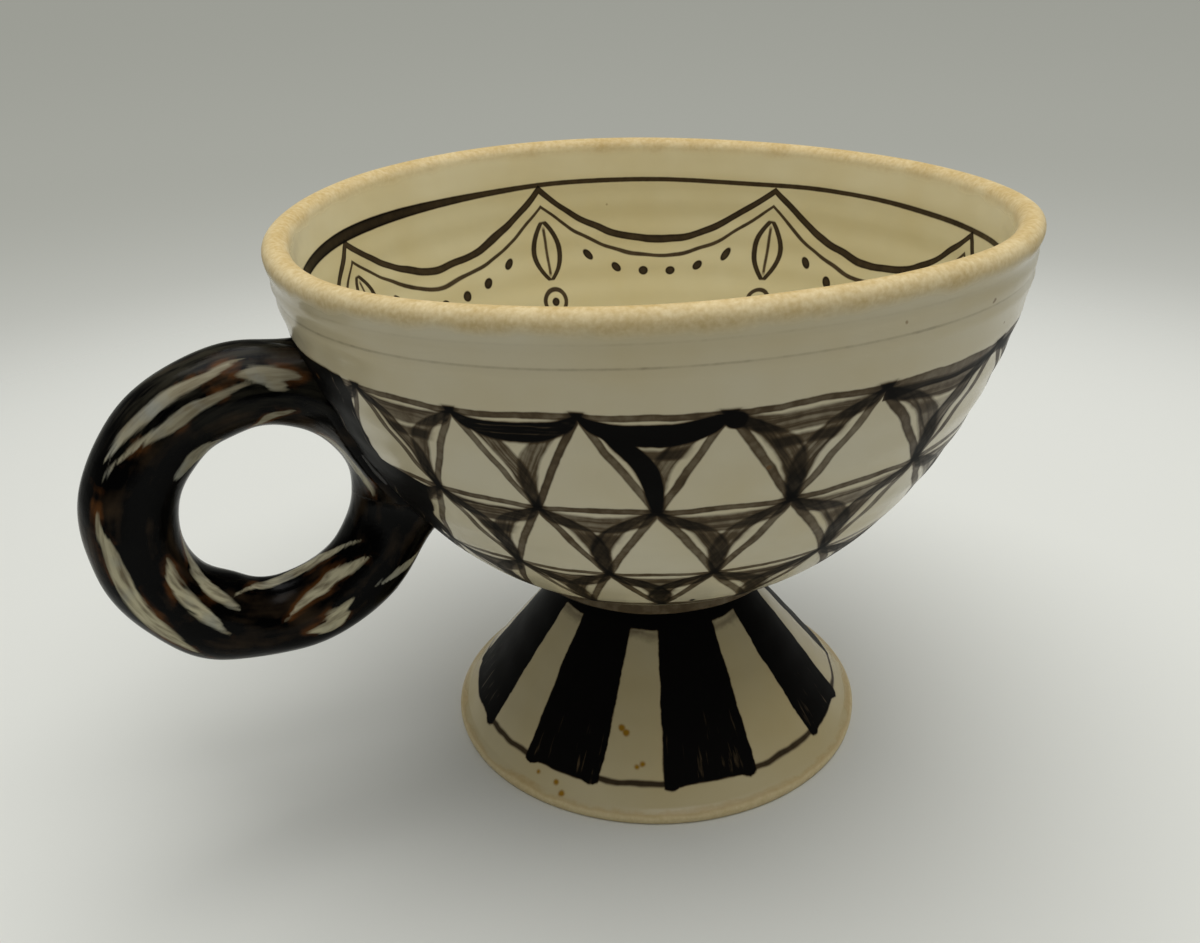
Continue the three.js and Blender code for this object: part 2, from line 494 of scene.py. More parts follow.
def turn_round(mesh, section, axis, steps):
    """Spins a section once round an axis through the origin and closes the mesh."""
    bmesh.ops.spin(
        mesh, geom=section, cent=(0, 0, 0), axis=axis, angle=math.tau, steps=steps, use_merge=True
    )
    weld(mesh)


def spun(profile, steps, layers=()):
    """Spins a profile of radius and height points about the axis. Layers keep numbers on its points."""
    mesh = bmesh.new()
    kept = {name: mesh.verts.layers.float.new(name) for name, _ in layers}
    corners = [mesh.verts.new((point.x, 0, point.y)) for point in profile]
    for name, values in layers:
        for corner, value in zip(corners, values):
            corner[kept[name]] = value
    edges = [mesh.edges.new(pair) for pair in zip(corners, corners[1:])]
    turn_round(mesh, corners + edges, (0, 0, 1), steps)
    return mesh


def finish_piece(mesh, name, materials, nodes):
    """Puts a mesh in place in metres as a smooth piece that stands for its solid."""
    bmesh.ops.transform(mesh, matrix=Matrix.Translation(AXIS) @ Matrix.Scale(MM, 4), verts=mesh.verts)
    data = bpy.data.meshes.new(name)
    mesh.to_mesh(data)
    mesh.free()
    data.shade_smooth()
    for material in materials:
        data.materials.append(material)
    piece = bpy.data.objects.new(name, data)
    bpy.context.scene.collection.objects.link(piece)
    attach(piece, "root")
    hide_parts(*nodes)


def bowl_profile():
    """The bowl's profile from the middle of its base, over the lip, to the middle of its floor."""
    pad_edge = PAD_RADIUS - PAD_BEVEL
    pad = [Vector((pad_edge * s, BOWL_BASE)) for s in share(PAD_STEPS)]
    for s in share(BEVEL_STEPS)[1:]:
        turn = blend(-math.pi / 2, 0, s)
        bevel = PAD_BEVEL * Vector((math.cos(turn), math.sin(turn)))
        pad.append(Vector((pad_edge, BOWL_BASE + PAD_BEVEL)) + bevel)
    pad += [blend(pad[-1], PAD_TOP, s) for s in (0.35, 0.7)]
    outside = [outline_point(s) for s in share(OUTSIDE_STEPS)]
    lip = []
    for s in share(LIP_STEPS)[1:-1]:
        turn = math.pi * s - FLANK_SLOPE
        lip.append(LIP_MIDDLE + LIP_RADIUS * Vector((math.cos(turn), math.sin(turn))))
    inside = []
    for s in share(INSIDE_STEPS):
        inside.append(beside_outline(1 - s, -blend(LIP_THICKNESS, WALL_THICKNESS, s)))
    edge_radius, edge_level = inside[-1]
    floor_level = BOWL_BASE + FLOOR_THICKNESS
    floor = []
    for s in share(FLOOR_STEPS)[1:]:
        floor.append(Vector((blend(edge_radius, 0, s), blend(edge_level, floor_level, rise(0, 1, s)))))
    crest = len(pad) + len(outside) + len(lip) // 2
    return pad + outside + lip + inside + floor, crest


def row_at(level):
    """Rows of the lattice counted down from its top line."""
    for row, (upper, lower) in enumerate(zip(ROW_LEVELS, ROW_LEVELS[1:])):
        if level >= lower:
            return row + (upper - level) / (upper - lower)
    return len(ROW_LEVELS) - 1 + (ROW_LEVELS[-1] - level) / (ROW_LEVELS[-2] - ROW_LEVELS[-1])


def build_bowl(materials):
    """The thrown bowl, whose points keep their depth below the lip's crest and their lattice row."""
    profile, crest = bowl_profile()
    walked = [0.0]
    for before, after in zip(profile, profile[1:]):
        walked.append(walked[-1] + (after - before).length)
    depths = [walked[crest] - length for length in walked]
    rows = [row_at(point.y) for point in profile]
    mesh = spun(profile, BOWL_STEPS, (("depth", depths), ("row", rows)))
    depth_layer = mesh.verts.layers.float["depth"]
    joint_layer = mesh.verts.layers.float.new("joint")
    groove_layer = mesh.verts.layers.float.new("groove")
    for corner in mesh.verts:
        level = corner.co.z
        angle = math.atan2(corner.co.y, corner.co.x)
        ring = Vector((math.cos(angle), math.sin(angle), 0))
        moved = bent_to_rim(corner.co)
        to_crest = abs(corner[depth_layer])
        ripple = THROWING_RIPPLE * math.sin(math.tau * level / THROWING_PITCH + 1.5 * math.sin(angle))
        ripple *= rise(*THROWING_FADE_BY_LIP, to_crest) * rise(*THROWING_FADE_BY_BASE, level - BOWL_BASE)
        wobble = LIP_WOBBLE * (1 - rise(*LIP_WOBBLE_FADE, to_crest))
        out = ripple + wobble * noise.noise(ring * 2.3)
        if corner[depth_layer] > 0:
            wander = GROOVE_WANDER * noise.noise(ring * 1.1 + Vector((0, 0, 4)))
            wander -= GROOVE_LEAN * (1 - math.cos(angle - GROOVE_HIGH))
            corner[groove_layer] = level - GROOVE_LEVEL - wander
            for above, depth in GROOVES:
                off_groove = (corner[groove_layer] - above) / GROOVE_WIDTH
                out -= depth * math.exp(-off_groove * off_groove)
                out += 0.5 * depth * math.exp(-((off_groove - 2) ** 2))
            off_hollow = (corner[groove_layer] - LIP_HOLLOW_ABOVE) / LIP_HOLLOW_WIDTH
            hollow = LIP_HOLLOW * (0.6 + 0.4 * math.cos(angle - LIP_HOLLOW_ANGLE))
            out -= hollow * math.exp(-off_hollow * off_hollow)
        moved += ring * out
        moved.z += wobble * noise.noise(ring * 2.1 + Vector((0, 0, 9)))
        corner.co = moved
        reach = wash_reach(level) if moved.y < 0 else BACK_WASH_REACH
        corner[joint_layer] = ring_gap(moved) - reach
    for face in mesh.faces:
        face.material_index = 0 if sum(c[depth_layer] for c in face.verts) > 0 else 1
    finish_piece(mesh, "thrown_bowl", materials, ["bowl"])


def build_foot(materials):
    """The hollow conical foot, glazed from the outer part of its resting ring upwards."""
    hollow_top = FOOT_HEIGHT - FOOT_CAP
    cone_radius = FOOT_RADIUS - FOOT_LEDGE
    slope = (cone_radius - NECK_RADIUS) / (FOOT_HEIGHT - FOOT_LEDGE_HEIGHT)
    hollow_corner = Vector((NECK_RADIUS + slope * FOOT_CAP - FOOT_WALL, hollow_top))
    hollow_mouth = Vector((FOOT_RADIUS - FOOT_WALL, 0.0))
    cone_start = Vector((cone_radius, FOOT_LEDGE_HEIGHT))
    neck = Vector((NECK_RADIUS, FOOT_HEIGHT))
    rest_edge = Vector((FOOT_RADIUS - FOOT_BEVEL, 0))
    profile = [blend(Vector((0, hollow_top)), hollow_corner, s) for s in share(CAP_STEPS)]
    profile += [blend(hollow_corner, hollow_mouth, s) for s in share(HOLLOW_STEPS)[1:]]
    profile += [blend(hollow_mouth, rest_edge, s) for s in share(REST_STEPS)[1:]]
    glazed_from = len(profile) - 3

    # The trimmed edge, rounded over its bevel and its ledge
    profile += [Vector((FOOT_RADIUS - FOOT_BEVEL * 0.3, 0.3 * FOOT_BEVEL_HEIGHT))]
    profile += [Vector((FOOT_RADIUS, FOOT_BEVEL_HEIGHT * s)) for s in (0.8, 1.1, 1.4)]
    profile += [Vector((FOOT_RADIUS - 0.35 * FOOT_LEDGE, 0.85 * FOOT_LEDGE_HEIGHT))]

    profile += [blend(cone_start, neck, s) for s in share(CONE_STEPS)]
    profile += [blend(neck, Vector((0, FOOT_HEIGHT)), s) for s in share(CAP_STEPS)[1:]]
    outer = [float(i >= glazed_from) for i in range(len(profile))]
    mesh = spun(profile, FOOT_STEPS, (("outer", outer),))
    outer_layer = mesh.verts.layers.float["outer"]
    stripe_layer = mesh.verts.layers.float.new("stripe")
    for corner in mesh.verts:
        radius = math.hypot(corner.co.x, corner.co.y)
        angle = math.atan2(corner.co.y, corner.co.x)
        ring = Vector((math.cos(angle), math.sin(angle), 0))
        if corner[outer_layer] > 0 and FOOT_TRUE_ENDS < corner.co.z < FOOT_HEIGHT - FOOT_TRUE_ENDS:
            ripple = FOOT_RIPPLE * math.sin(math.tau * corner.co.z / FOOT_RIPPLE_PITCH + angle)
            waver = FOOT_WAVER * noise.noise(ring * 1.6 + Vector((0, 0, corner.co.z / 14)))
            corner.co += ring * (ripple + waver - FOOT_TRIM)
        corner[stripe_layer] = stripe_depth(math.degrees(angle), radius, corner.co.z)
    for face in mesh.faces:
        face.material_index = 0 if min(c[outer_layer] for c in face.verts) > 0 else 1
    finish_piece(mesh, "conical_foot", materials, ["pedestal_foot"])


def build_foot_slip(material):
    """A rolled collar of slip where the foot's neck carries the bowl."""
    middle = (FOOT_HEIGHT + BOWL_BASE) / 2
    half = (BOWL_BASE - FOOT_HEIGHT) / 2 + COLLAR_ROLL
    profile = [Vector((0, middle - half))]
    for s in share(ROLL_STEPS):
        turn = blend(-math.pi / 2, math.pi / 2, s)
        radius = NECK_RADIUS - COLLAR_DEPTH + (COLLAR_BEAD + COLLAR_DEPTH) * math.cos(turn)
        profile.append(Vector((radius, middle + half * math.sin(turn))))
    profile.append(Vector((0, middle + half)))
    mesh = spun(profile, COLLAR_STEPS)
    for corner in mesh.verts:
        radius = math.hypot(corner.co.x, corner.co.y)
        if radius > NECK_RADIUS - COLLAR_DEPTH / 2:
            ring = Vector((corner.co.x, corner.co.y, 0)) / radius
            corner.co += ring * COLLAR_WAVER * noise.noise(ring * 4)
    finish_piece(mesh, "foot_slip_collar", [material], ["foot_slip_joint"])


def on_coil(around, coil, extra):
    """A point on the ring's coil, grown by an extra thickness."""
    middle, half_height, half_width = ring_size(around)
    reach = middle + math.cos(coil) * (half_height + extra)
    side = math.sin(coil) * (half_width + extra)
    return Vector((reach * math.cos(around) - RING_REACH, side, RING_LEVEL + reach * math.sin(around)))


def bell(turn, middle, spread):
    """A bell curve of an angle, 1 at its middle."""
    past = (turn - middle + math.pi) % math.tau - math.pi
    return math.exp(-((past / spread) ** 2))


def build_ring(material):
    """A hand-rolled coil closed into a ring, flared where it is smoothed onto the bowl."""
    mesh = bmesh.new()
    coil_layer = mesh.verts.layers.float.new("coil")
    section = bmesh.ops.create_circle(mesh, segments=COIL_STEPS, radius=1.0)["verts"]
    for corner in section:
        corner[coil_layer] = math.atan2(corner.co.y, corner.co.x)
        corner.co = Vector((RING_RADIUS + corner.co.x, corner.co.y, 0))
    turn_round(mesh, section + mesh.edges[:], (0, -1, 0), RING_STEPS)
    streak_layer = mesh.verts.layers.float.new("streak")
    brushed_layer = mesh.verts.layers.float_vector.new("brushed")
    for corner in mesh.verts:
        around = math.atan2(corner.co.z, corner.co.x)
        coil = corner[coil_layer]
        close = COIL_CLOSE * bell(around, COIL_CLOSE_ANGLE, COIL_CLOSE_SPREAD)
        close -= COIL_FLAT * bell(around, COIL_CLOSE_ANGLE, COIL_FLAT_SPREAD)
        press = TOP_PRESS * bell(around, TOP_PRESS_ANGLE, TOP_PRESS_SPREAD) * max(0.0, math.cos(coil))
        place = Vector((2.2 * math.cos(around), 2.2 * math.sin(around) + math.sin(coil), math.cos(coil)))
        grown = close * abs(math.cos(coil)) - press + COIL_LUMPS * noise.noise(place)
        near = 1 - min(1.0, max(0.0, bowl_gap(on_coil(around, coil, grown)) / FLARE_REACH))
        point = on_coil(around, coil, grown + FLARE * abs(math.sin(coil)) * near * near)
        sunk = bowl_gap(point) + RING_SINK
        if sunk < 0:
            outward = Vector((point.x, point.y, 0)).normalized()
            point -= outward * sunk / max(LEAST_STEEPNESS, outline_direction(outline_at(point.z)).y)
        corner.co = point
        around_stray = STREAK_STRAY_AROUND * noise.noise(place * 1.7 + Vector((5, 0, 0)))
        coil_stray = STREAK_STRAY_COIL * noise.noise(place * 1.7 + Vector((0, 5, 0)))
        corner[streak_layer] = streak_depth(
            math.degrees(around) + around_stray, math.degrees(coil) + coil_stray
        )
        dragged = BRISTLE_STRETCH * RING_RADIUS * (around % math.tau)
        _, half_height, half_width = ring_size(around)
        corner[brushed_layer] = (dragged, half_height * math.cos(coil), half_width * math.sin(coil))
    finish_piece(mesh, "coil_ring_handle", [material], ["ring_handle"])


def joint_line():
    """The closed line on the bowl's wall along which the ring's coil meets it."""
    points = []
    for i in range(SEAT_POINTS):
        heading = math.tau * i / SEAT_POINTS
        seat = FLARE * SEAT_FLARE * abs(math.cos(heading))
        seat -= TOP_PRESS * max(0.0, math.sin(heading)) ** 3
        near, far = 0.0, SEAT_REACH
        for _ in range(SEAT_HALVINGS):
            half = (near + far) / 2
            if ring_gap(on_wall_from(heading, half)) < seat:
                near = half
            else:
                far = half
        points.append(on_wall_from(heading, near))
    return points


def on_wall_from(heading, distance):
    """The point of the bowl's wall that lies a distance from the seat's middle, along a heading."""
    level = RING_LEVEL + SEAT_RISE + distance * math.sin(heading)
    radius = outline_point(outline_at(level)).x
    angle = math.pi + distance * math.cos(heading) / radius
    return bent_to_rim(Vector((radius * math.cos(angle), radius * math.sin(angle), level)))


def build_handle_slip(material):
    """The bead of slip that was pressed out round the ring's seat."""
    curve = bpy.data.curves.new("handle_slip_line", "CURVE")
    curve.dimensions = "3D"
    curve.bevel_depth = SEAT_BEAD
    curve.bevel_resolution = 5
    line = joint_line()
    spline = curve.splines.new("POLY")
    spline.points.add(len(line) - 1)
    spline.use_cyclic_u = True
    for point, place in zip(spline.points, line):
        point.co = (*place, 1)
        point.radius = 1 + SEAT_BEAD_WAVER * noise.noise(place * 0.35)
    holder = bpy.data.objects.new("handle_slip_line", curve)
    bpy.context.scene.collection.objects.link(holder)
    bpy.context.view_layer.update()
    shaped = holder.evaluated_get(bpy.context.evaluated_depsgraph_get()).to_mesh()
    mesh = bmesh.new()
    mesh.from_mesh(shaped)
    holder.to_mesh_clear()
    bpy.data.objects.remove(holder)
    bpy.data.curves.remove(curve)
    weld(mesh)
    finish_piece(mesh, "handle_slip_bead", [material], ["handle_slip_joint"])


def linear(hex_colour):
    """Turns an sRGB hex colour to the linear colour that a socket takes."""
    channels = [int(hex_colour[i:i + 2], 16) / 255 for i in (1, 3, 5)]
    return [*(c / 12.92 if c <= 0.04045 else ((c + 0.055) / 1.055) ** 2.4 for c in channels), 1.0]


# The setting that a node's kind may end in, after a dot
MODES = {
    "Math": "operation",
    "VectorMath": "operation",
    "MapRange": "interpolation_type",
    "Mix": "data_type",
}


def add_node(tree, kind, inputs, output=0, **settings):
    """Adds a shader node with its settings, fills or links its inputs and returns an output.

    A list fills the first inputs in order, and a dict fills those that it names or numbers.
    """
    kind, _, mode = kind.partition(".")
    made = tree.nodes.new("ShaderNode" + kind)
    if mode:
        setattr(made, MODES[kind], mode)
    for name, value in settings.items():
        setattr(made, name, value)
    for key, value in inputs.items() if isinstance(inputs, dict) else enumerate(inputs):
        if isinstance(value, bpy.types.NodeSocket):
            tree.links.new(value, made.inputs[key])
        else:
            made.inputs[key].default_value = value
    return made.outputs[output] if made.outputs else None


def new_material(name):
    """A bare node material and the function that adds nodes to it."""
    material = bpy.data.materials.new(name)
    material.use_nodes = True
    material.node_tree.nodes.clear()
    return material, partial(add_node, material.node_tree)


def per_mm(size):
    """The scale at which a pattern on Object coordinates repeats every so many millimetres."""
    return 1 / (size * MM)


def angle_round_axis(node, coords):
    """The angle round the cup's axis, in radians."""
    centred = node("Mapping", {"Vector": coords, "Location": -AXIS})
    parts = node("SeparateXYZ", [centred], "X").node.outputs
    return node("Math.ARCTAN2", [parts["Y"], parts["X"]])


def brush_stroke(node, clear, gap, half_width, strength, softness=0.16):
    """Lays a stroke of oxide wash, thickest along its edges, and returns what stays clear.

    Clear is what earlier strokes left clear, or None for the first stroke.
    """
    beyond = node("Math.SUBTRACT", [gap, half_width])
    cover = node("MapRange.SMOOTHSTEP", [beyond, softness, -softness])
    aside = node("Math.DIVIDE", [gap, half_width], use_clamp=True)
    pooled = node("Math.POWER", [aside, 3.0])
    pooled = node("Math.MULTIPLY_ADD", [pooled, 0.14, 0.88])
    laid = node("Math.MULTIPLY", [cover, pooled])
    laid = node("Math.MULTIPLY", [laid, strength], use_clamp=True)
    kept = node("Math.SUBTRACT", [1.0, laid])
    return kept if clear is None else node("Math.MULTIPLY", [clear, kept])


def surfaced(material, node, colour, roughness, gloss, normal):
    """Ends a material in a shader of a fired surface. Roughness and gloss are numbers or nodes."""
    shader = node(
        "BsdfPrincipled",
        {
            "Base Color": colour,
            "Roughness": roughness,
            "IOR": CERAMIC_IOR,
            "Specular IOR Level": gloss,
            "Normal": normal,
        },
    )
    node("OutputMaterial", {"Surface": shader})
    return material


def gap_to(node, place, line):
    """How far a place is from a line, both as distances on the same scale."""
    aside = node("Math.SUBTRACT", [place, line])
    return node("Math.ABSOLUTE", [aside])


def hump(node, part):
    """A parabola that is 0 at both ends of a stroke and 1 at its middle."""
    rest = node("Math.MULTIPLY", [4.0, part])
    other = node("Math.SUBTRACT", [1.0, part])
    return node("Math.MULTIPLY", [rest, other])


def lattice_counts(node, coords):
    """Columns of the lattice counted round the bowl and rows counted down, with the hand's sway."""
    angle = angle_round_axis(node, coords)
    row = node("Attribute", {}, "Fac", attribute_name="row")
    doubled = node("Math.MULTIPLY_ADD", [angle, 2.0, LATTICE_DRIFT_ANGLE])
    drift = node("Math.SINE", [doubled])
    drift = node("Math.MULTIPLY_ADD", [drift, LATTICE_DRIFT, LATTICE_SHIFT])
    column = node("Math.MULTIPLY_ADD", [angle, LATTICE_COUNT / math.tau, drift])
    column = node("Math.MULTIPLY_ADD", [row, LATTICE_LEAN, column])
    for size, column_reach, row_reach in HAND_SWAYS:
        sway = node("TexNoise", {"Vector": coords, "Scale": per_mm(size), "Detail": 1.0}, "Color")
        sway = node("VectorMath.SUBTRACT", [sway, (0.5, 0.5, 0.5)])
        sway = node("SeparateXYZ", [sway]).node.outputs
        column = node("Math.MULTIPLY_ADD", [sway["X"], column_reach, column])
        row = node("Math.MULTIPLY_ADD", [sway["Y"], row_reach, row])
    return column, row


def lattice_loads(node, cell, tier):
    """How much more oxide the loaded brush left in a cell's top stroke, left stroke and top line."""
    first_tier = node("Math.COMPARE", [tier, 0.0, 0.5])
    loads = []
    for cells in (LOADED_TOPS, LOADED_SIDES, LOADED_LINES):
        total = 0.0
        for loaded_cell, load in cells:
            loaded = node("Math.COMPARE", [cell, loaded_cell, 0.5])
            loaded = node("Math.MULTIPLY", [loaded, first_tier])
            total = node("Math.MULTIPLY_ADD", [loaded, load, total])
        loads.append(total)
    return loads


def lattice_blots(node, clear, across, row):
    """Lays blots of oxide where the brush was set down, and returns what stays clear."""
    for blot_column, blot_row, half_size in LATTICE_BLOTS:
        aside = node("Math.SUBTRACT", [across, blot_column])
        below = node("Math.SUBTRACT", [row, blot_row])
        to_blot = node("CombineXYZ", [aside, below])
        to_blot = node("VectorMath.MULTIPLY", [to_blot, (CELL_WIDTH, CELL_HEIGHT, 0)])
        to_blot = node("VectorMath.LENGTH", [to_blot], "Value")
        clear = brush_stroke(node, clear, to_blot, half_size, 1.2, 0.25)
    return clear


def handle_wash(node, coords, clear, row):
    """Lays the black wash past the ring's seat, thin along some bristles. Returns what stays clear."""
    joint = node("Attribute", {}, "Fac", attribute_name="joint")
    ragged = node("TexNoise", {"Vector": coords, "Scale": per_mm(4), "Detail": 3.0})
    joint = node("Math.MULTIPLY_ADD", [ragged, -2.2, joint])
    dragged = node("CombineXYZ", [joint, row])
    dry = node("TexNoise", {"Vector": dragged, "Scale": 0.8, "Detail": 3.0})
    strength = node("MapRange", [dry, 0.6, 0.72, 1.25, 0.6])
    return brush_stroke(node, clear, joint, 0.0, strength, 0.3)


def lattice_limits(node, clear, row):
    """Clears what is above the top line or below the bottom one. Below it a thin wash is painted as
    shade under the belly, and the neck is fully dark.
    """
    top = node("MapRange.SMOOTHSTEP", [row, -0.07, -0.03])
    bottom = node("MapRange.SMOOTHSTEP", [row, 3.12, 3.07])
    within = node("Math.MULTIPLY", [top, bottom])
    painted = node("Math.SUBTRACT", [1.0, clear])
    painted = node("Math.MULTIPLY", [painted, within])
    # Painted shade under the belly, growing below the bottom line
    painted_shade_under_belly = node("MapRange", [row, 3.1, 3.35, 0.0, 0.78])
    neck = node("MapRange", [row, 3.68, 3.76])
    for wash in (painted_shade_under_belly, neck):
        painted = node("Math.MAXIMUM", [painted, wash])
    return node("Math.SUBTRACT", [1.0, painted])


def lattice_paint(node, coords):
    """What stays clear of the brushed lattice of hatched triangles on the bowl's outside."""
    across, row = lattice_counts(node, coords)
    tier = node("Math.FLOOR", [row])
    odd = node("Math.FLOORED_MODULO", [tier, 2.0])
    column = node("Math.MULTIPLY_ADD", [odd, 0.5, across])
    cell = node("Math.FLOOR", [column])
    x = node("Math.FRACT", [column])
    y = node("Math.FRACT", [row])
    seed = node("CombineXYZ", [cell, tier, 7.0])
    chance = node("TexWhiteNoise", {"Vector": seed}, "Color", noise_dimensions="3D")
    chance = node("SeparateXYZ", [chance]).node.outputs

    # How far in from the triangle's two sides and down from its top, in millimetres
    slant = CELL_HEIGHT / math.hypot(CELL_HEIGHT, CELL_WIDTH / 2) * CELL_WIDTH
    x_back = node("Math.SUBTRACT", [1.0, x])
    from_left = node("Math.MULTIPLY_ADD", [y, -0.5, x])
    from_right = node("Math.MULTIPLY_ADD", [y, -0.5, x_back])
    shrink = node("MapRange", [tier, 0.0, 2.0, 1.0, LATTICE_SHRINK])
    slant = node("Math.MULTIPLY", [shrink, slant])
    tall = node("Math.MULTIPLY", [shrink, CELL_HEIGHT])
    from_left = node("Math.MULTIPLY", [from_left, slant])
    from_right = node("Math.MULTIPLY", [from_right, slant])
    from_top = node("Math.MULTIPLY", [y, tall])
    lean = node("MapRange", [y, 0.0, 1.0, 1.2, 0.6])
    bow = node("Math.MULTIPLY", [hump(node, y), lean])
    sag = node("Math.POWER", [hump(node, x), 0.6])
    top_load, side_load, line_load = lattice_loads(node, cell, tier)

    # The level lines between the rows, and thin lines down both sides of each triangle
    nearest = node("Math.ROUND", [row])
    off_line = gap_to(node, row, nearest)
    off_line = node("Math.MULTIPLY", [off_line, CELL_HEIGHT])
    line_half = node("MapRange", [row, 2.6, 2.9, 0.5, 1.3])
    top_line = node("Math.COMPARE", [nearest, 0.0, 0.5])
    line_half = node("Math.MULTIPLY_ADD", [top_line, line_load, line_half])
    clear = brush_stroke(node, None, off_line, line_half, 0.84)
    for place, luck in ((from_left, chance[1]), (from_right, chance[2])):
        strength = node("MapRange", [luck, 0.0, 1.0, 0.78, 0.9])
        clear = brush_stroke(node, clear, gap_to(node, place, 0.0), 0.58, strength)

    # Broad strokes inside each triangle, which bow away from the thin lines and meet at the ends
    from_sides = node("Math.MINIMUM", [from_left, from_right])
    inside = node("MapRange", [from_sides, -0.7, -0.1])
    well_inside = node("MapRange", [from_sides, 0.8, 2.4])
    late = node("Math.MULTIPLY", [x, x])
    late = node("Math.MULTIPLY", [late, top_load])
    for place, arch, reach, extra, wider, luck in (
        (from_left, bow, 3.0, side_load, None, chance[0]),
        (from_right, bow, 3.5, None, None, chance[1]),
        (from_top, sag, 2.6, top_load, late, chance[2]),
    ):
        line = node("Math.MULTIPLY", [arch, reach])
        half_width = node("Math.MULTIPLY_ADD", [arch, 0.95, 0.55])
        if wider is not None:
            half_width = node("Math.MULTIPLY_ADD", [wider, 0.3, half_width])
        bristles = node("CombineXYZ", [place, arch, cell])
        bristles = node("TexNoise", {"Vector": bristles, "Scale": 1.7, "Detail": 2.0})
        bristles = node("MapRange", [bristles, 0.32, 0.68, 0.75])
        strength = node("MapRange", [luck, 0.0, 1.0, 0.92, 1.1])
        strength = node("Math.MULTIPLY", [bristles, strength])
        if extra is not None:
            strength = node("Math.MULTIPLY_ADD", [extra, 0.6, strength])
        strength = node("Math.MULTIPLY", [strength, inside])
        clear = brush_stroke(node, clear, gap_to(node, place, line), half_width, strength, 0.34)

    # A second, thinner level stroke, and the dark place where all strokes of a triangle end
    line = node("Math.MULTIPLY_ADD", [sag, 0.9, 4.5])
    strength = node("MapRange", [chance[0], 0.15, 0.6, 0.0, 0.85])
    strength = node("Math.MULTIPLY", [strength, well_inside])
    clear = brush_stroke(node, clear, gap_to(node, from_top, line), 0.8, strength, 0.4)
    off_middle = gap_to(node, x, 0.5)
    off_middle = node("Math.MULTIPLY", [off_middle, CELL_WIDTH])
    above_end = node("Math.SUBTRACT", [tall, from_top])
    to_end = node("CombineXYZ", [off_middle, above_end])
    to_end = node("VectorMath.LENGTH", [to_end], "Value")
    end_size = node("MapRange", [tier, 0.0, 2.0, 1.3, 0.4])
    clear = brush_stroke(node, clear, to_end, end_size, 0.85, 0.8)

    clear = lattice_blots(node, clear, across, row)
    clear = handle_wash(node, coords, clear, row)
    return lattice_limits(node, clear, row)


def sandy_clay(node, coords, pool, painted_crest_shade=None):
    """Colour and grain of the unglazed clay, and how much darker painted shade makes it along the lip's
    crest.
    """
    grain = node("TexNoise", {"Vector": coords, "Scale": per_mm(0.7), "Detail": 3.0})
    sand = node("Math.MULTIPLY_ADD", [pool, 0.6, grain])
    sand = node("MapRange", [sand, 0.5, 1.3])
    if painted_crest_shade is not None:
        sand = node("Math.ADD", [sand, painted_crest_shade], use_clamp=True)
    clay = node("Mix.RGBA", {0: sand, 6: linear(CLAY), 7: linear(CLAY_DARK)}, 2)
    return clay, grain


def uneven_surface(node, coords, size, detail, marks, relief):
    """A bumped normal: soft swells of a size in millimetres with finer marks on them."""
    marked, strength = relief
    swell = node("TexNoise", {"Vector": coords, "Scale": per_mm(size), "Detail": detail})
    height = node("Math.MULTIPLY_ADD", [marks, marked, swell])
    return node("Bump", {"Height": height, "Strength": strength, "Distance": strength * MM})


def glazed_stoneware(material, node, coords, glaze, clear, bare, unrusted=None, painted_crest_shade=None):
    """Cream tin glaze over speckled stoneware: glossy, a little uneven in tone, with iron specks.

    Clear is 1 where no oxide is brushed on. Bare is 1 where the sandy clay is left unglazed, painted
    crest shade is how much darker it is painted there as shade, and unrusted is 0 where rust shows.
    """
    tone = node("TexNoise", {"Vector": coords, "Scale": per_mm(22), "Detail": 3.0})
    tone = node("MapRange", [tone, 0.35, 0.75])
    colour = node("Mix.RGBA", {0: tone, 6: glaze, 7: linear(GLAZE_TINT)}, 2, blend_type="MULTIPLY")
    if unrusted is not None:
        colour = node("Mix.RGBA", {0: unrusted, 6: linear(RUST), 7: colour}, 2)

    bristle = node("TexNoise", {"Vector": coords, "Scale": per_mm(1.3), "Detail": 3.0})
    pool = node("TexNoise", {"Vector": coords, "Scale": per_mm(6), "Detail": 2.0})
    uneven = node("Math.ADD", [bristle, pool])
    uneven = node("MapRange", [uneven, 0.6, 1.4, 1.6, 0.7])
    density = node("Math.SUBTRACT", [1.0, clear])
    density = node("Math.POWER", [density, uneven], use_clamp=True)
    thin = node("MapRange", [density, 0.0, 0.75])
    thick = node("MapRange", [density, 0.74, 1.0])
    colour = node("Mix.RGBA", {0: thin, 6: colour, 7: linear(OXIDE_THIN)}, 2)
    colour = node("Mix.RGBA", {0: thick, 6: colour, 7: linear(OXIDE_THICK)}, 2)

    spots = node("TexVoronoi", {"Vector": coords, "Scale": per_mm(5.5)}, "Distance").node.outputs
    rare = node("SeparateXYZ", [spots["Color"]], "X")
    size = node("MapRange", [rare, 0.7, 1.0, 0.0, 0.1])
    speck = node("Math.SUBTRACT", [size, spots["Distance"]])
    speck = node("MapRange", [speck, 0.0, 0.03, 0.0, 0.7])
    colour = node("Mix.RGBA", {0: speck, 6: colour, 7: linear(IRON)}, 2)

    clay, grain = sandy_clay(node, coords, pool, painted_crest_shade)
    colour = node("Mix.RGBA", {0: bare, 6: colour, 7: clay}, 2)

    dull = node("MapRange", [pool, 0.0, 1.0, 0.1, 0.28])
    dull = node("Math.MULTIPLY_ADD", [density, 0.25, dull])
    roughness = node("Mix", {0: bare, 2: dull, 3: CLAY_ROUGHNESS})
    gloss = node("MapRange", [density, 0.3, 1.0, GLAZE_GLOSS, 0.02])
    rough_clay = node("Math.MULTIPLY", [grain, bare])
    normal = uneven_surface(node, coords, 7, 2.0, rough_clay, STONEWARE_RELIEF)
    return surfaced(material, node, colour, roughness, gloss, normal)


